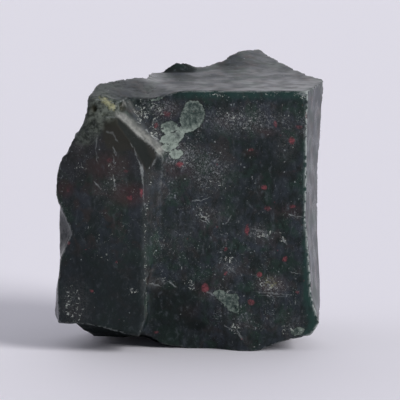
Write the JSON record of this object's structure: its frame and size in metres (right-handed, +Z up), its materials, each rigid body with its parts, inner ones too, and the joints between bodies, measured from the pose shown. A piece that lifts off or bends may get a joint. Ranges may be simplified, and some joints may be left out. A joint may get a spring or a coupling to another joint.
{
  "type": "bloodstone",
  "caption": "Rough broken chunk of dark green bloodstone with a flat cut front, a proud left lobe and a rising hollow top; stands on a small flat spot.",
  "frame": {"origin": "centre of the stone's bounding box in plan, at the ground plane it stands on", "axes": "+X to the right along the flat front face, +Y back from the front face, +Z up"},
  "size_m": [0.0416, 0.0316, 0.0443],
  "materials": {
    "bloodstone": "dark green chalcedony with red and pale specks, waxy to satin on broken faces"
  },
  "bodies": {
    "root": {"bloodstone": "bloodstone"}
  },
  "joints": []
}
